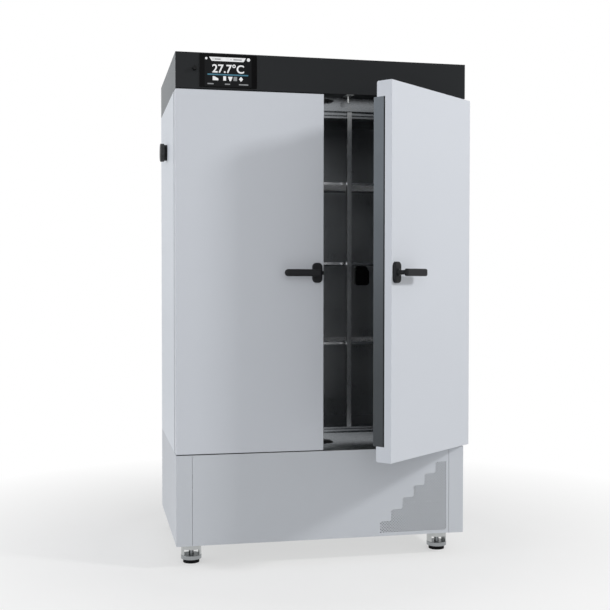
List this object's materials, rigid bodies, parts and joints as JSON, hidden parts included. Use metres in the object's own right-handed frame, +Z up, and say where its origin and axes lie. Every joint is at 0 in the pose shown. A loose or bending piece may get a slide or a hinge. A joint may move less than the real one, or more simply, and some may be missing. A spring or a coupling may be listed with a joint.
{
  "type": "environmental test chamber",
  "caption": "Tall two-door climatic test cabinet with a dark hood and touch display, perforated machine base, shelves, air duct, lever-locked insulated doors and levelling feet.",
  "frame": {"origin": "on the floor under the middle of the cabinet's width and depth, doors and handles left out", "axes": "+Z up, +X to the right as seen from the front, +Y from the front to the back"},
  "size_m": [1.0619, 0.9971, 1.726],
  "materials": {
    "powder_grey": "satin, fine texture",
    "fascia_black": "gloss",
    "stainless": "polished",
    "zinc_plate": "zinc plated",
    "handle_black": "fine moulded grain",
    "foam": "rigid foam, matte",
    "seal_rubber": "matte",
    "foot_rubber": "matte",
    "black_plastic": "matte",
    "grey_plastic": "matte",
    "silicone": "matte",
    "display": "gloss",
    "aluminium_fins": "plain",
    "compressor_black": "gloss",
    "copper": "bare copper",
    "board": "gloss"
  },
  "bodies": {
    "cabinet": {"outer_casing": "powder_grey", "back_panel": "zinc_plate", "hood": "fascia_black", "top_cover": "powder_grey", "chamber_liner": "stainless", "insulation": "foam", "front_frame": "stainless", "throat_ring": "stainless", "support_post": "stainless", "hinge_brackets": "zinc_plate", "lock_keepers": "black_plastic", "striker_bracket": "zinc_plate", "shelf_supports": "stainless", "duct_panel": "stainless", "fan_motor": "zinc_plate", "heater": "stainless", "cooler": "aluminium_fins", "temperature_probe": "stainless", "inner_socket": "black_plastic", "port_sleeve": "black_plastic", "display_unit": "display", "mains_switch_and_inlet": "black_plastic", "control_board": "board", "base_side_panels": "powder_grey", "base_plates": "zinc_plate", "base_front_panel": "powder_grey", "rear_grille": "powder_grey", "compressor": "compressor_black", "condenser": "aluminium_fins", "condenser_fan_housing": "zinc_plate", "refrigerant_pipes": "copper", "condensate_drain": "grey_plastic", "panel_screws": "zinc_plate"},
    "shelf_top": {"shelf_top": "stainless"},
    "shelf_middle": {"shelf_middle": "stainless"},
    "shelf_bottom": {"shelf_bottom": "stainless"},
    "port_plug": {"port_plug": "silicone"},
    "socket_lid": {"socket_lid": "black_plastic"},
    "circulation_fan": {"circulation_fan": "aluminium_fins"},
    "condenser_fan": {"condenser_fan": "black_plastic"},
    "power_knob": {"power_knob": "black_plastic"},
    "foot_front_left": {"foot_front_left": "foot_rubber"},
    "foot_front_right": {"foot_front_right": "foot_rubber"},
    "foot_rear_left": {"foot_rear_left": "foot_rubber"},
    "foot_rear_right": {"foot_rear_right": "foot_rubber"},
    "right_door": {"right_door_shell": "powder_grey", "right_door_foam": "foam", "right_door_liner": "stainless", "right_door_gasket": "seal_rubber", "right_rosette": "handle_black"},
    "right_lever": {"right_lever": "handle_black"},
    "right_lock_rod": {"right_lock_rod": "zinc_plate"},
    "left_door": {"left_door_shell": "powder_grey", "left_door_foam": "foam", "left_door_liner": "stainless", "left_door_gasket": "seal_rubber", "left_rosette": "handle_black"},
    "left_lever": {"left_lever": "handle_black"},
    "left_lock_rod": {"left_lock_rod": "zinc_plate"},
    "left_lock_button": {"left_lock_button": "black_plastic"}
  },
  "joints": [
    {"name": "right_door_hinge", "type": "hinge", "parent": "cabinet", "child": "right_door", "pos_m": [0.489, -0.281, 0.997], "axis": [0, 0, 1], "range_deg": [-40, 70]},
    {"name": "left_door_hinge", "type": "hinge", "parent": "cabinet", "child": "left_door", "pos_m": [-0.489, -0.281, 0.997], "axis": [0, 0, -1], "range_deg": [0, 110]},
    {"name": "right_lever_turn", "type": "hinge", "parent": "right_door", "child": "right_lever", "pos_m": [0.166, -0.6173, 0.997], "axis": [-0.6428, 0.766, 0], "range_deg": [0, 90]},
    {"name": "left_lever_turn", "type": "hinge", "parent": "left_door", "child": "left_lever", "pos_m": [-0.0254, -0.331, 0.997], "axis": [0, -1, 0], "range_deg": [0, 90]},
    {"name": "right_lock_slide", "type": "slide", "parent": "right_door", "child": "right_lock_rod", "axis": [0, 0, 1], "range_m": [0, 0.009]},
    {"name": "left_lock_slide", "type": "slide", "parent": "left_door", "child": "left_lock_rod", "axis": [0, 0, 1], "range_m": [0, 0.009]},
    {"name": "left_lock_button_press", "type": "slide", "parent": "left_door", "child": "left_lock_button", "axis": [-1, 0, 0], "range_m": [0, 0.003], "stiffness_N_per_m": 300, "springref_m": -0.002},
    {"name": "port_plug_pull", "type": "slide", "parent": "cabinet", "child": "port_plug", "axis": [-1, 0, 0], "range_m": [0, 0.08]},
    {"name": "socket_lid_hinge", "type": "hinge", "parent": "cabinet", "child": "socket_lid", "pos_m": [0.267, 0.1637, 1.02], "axis": [-1, 0, 0], "range_deg": [0, 80], "stiffness_Nm_per_rad": 0.02, "springref_deg": -17.19},
    {"name": "circulation_fan_spin", "type": "hinge", "parent": "cabinet", "child": "circulation_fan", "pos_m": [0, 0.217, 1.29], "axis": [0, 1, 0], "continuous": true},
    {"name": "condenser_fan_spin", "type": "hinge", "parent": "cabinet", "child": "condenser_fan", "pos_m": [0.32, -0.22, 0.2], "axis": [0, 1, 0], "continuous": true},
    {"name": "power_knob_turn", "type": "hinge", "parent": "cabinet", "child": "power_knob", "pos_m": [-0.4415, -0.34, 1.673], "axis": [0, 1, 0], "range_deg": [0, 90]},
    {"name": "shelf_top_slide", "type": "slide", "parent": "cabinet", "child": "shelf_top", "axis": [0, -1, 0], "range_m": [0, 0.027]},
    {"name": "shelf_middle_slide", "type": "slide", "parent": "cabinet", "child": "shelf_middle", "axis": [0, -1, 0], "range_m": [0, 0.027]},
    {"name": "shelf_bottom_slide", "type": "slide", "parent": "cabinet", "child": "shelf_bottom", "axis": [0, -1, 0], "range_m": [0, 0.027]},
    {"name": "foot_front_left_screw", "type": "slide", "parent": "cabinet", "child": "foot_front_left", "axis": [0, 0, -1], "range_m": [0, 0.015]},
    {"name": "foot_front_right_screw", "type": "slide", "parent": "cabinet", "child": "foot_front_right", "axis": [0, 0, -1], "range_m": [0, 0.015]},
    {"name": "foot_rear_left_screw", "type": "slide", "parent": "cabinet", "child": "foot_rear_left", "axis": [0, 0, -1], "range_m": [0, 0.015]},
    {"name": "foot_rear_right_screw", "type": "slide", "parent": "cabinet", "child": "foot_rear_right", "axis": [0, 0, -1], "range_m": [0, 0.015]}
  ],
  "couplings": [
    {"joint": "right_lock_slide", "follows": "right_lever_turn", "m_per_rad": 0.005729},
    {"joint": "left_lock_slide", "follows": "left_lever_turn", "m_per_rad": 0.005729}
  ]
}
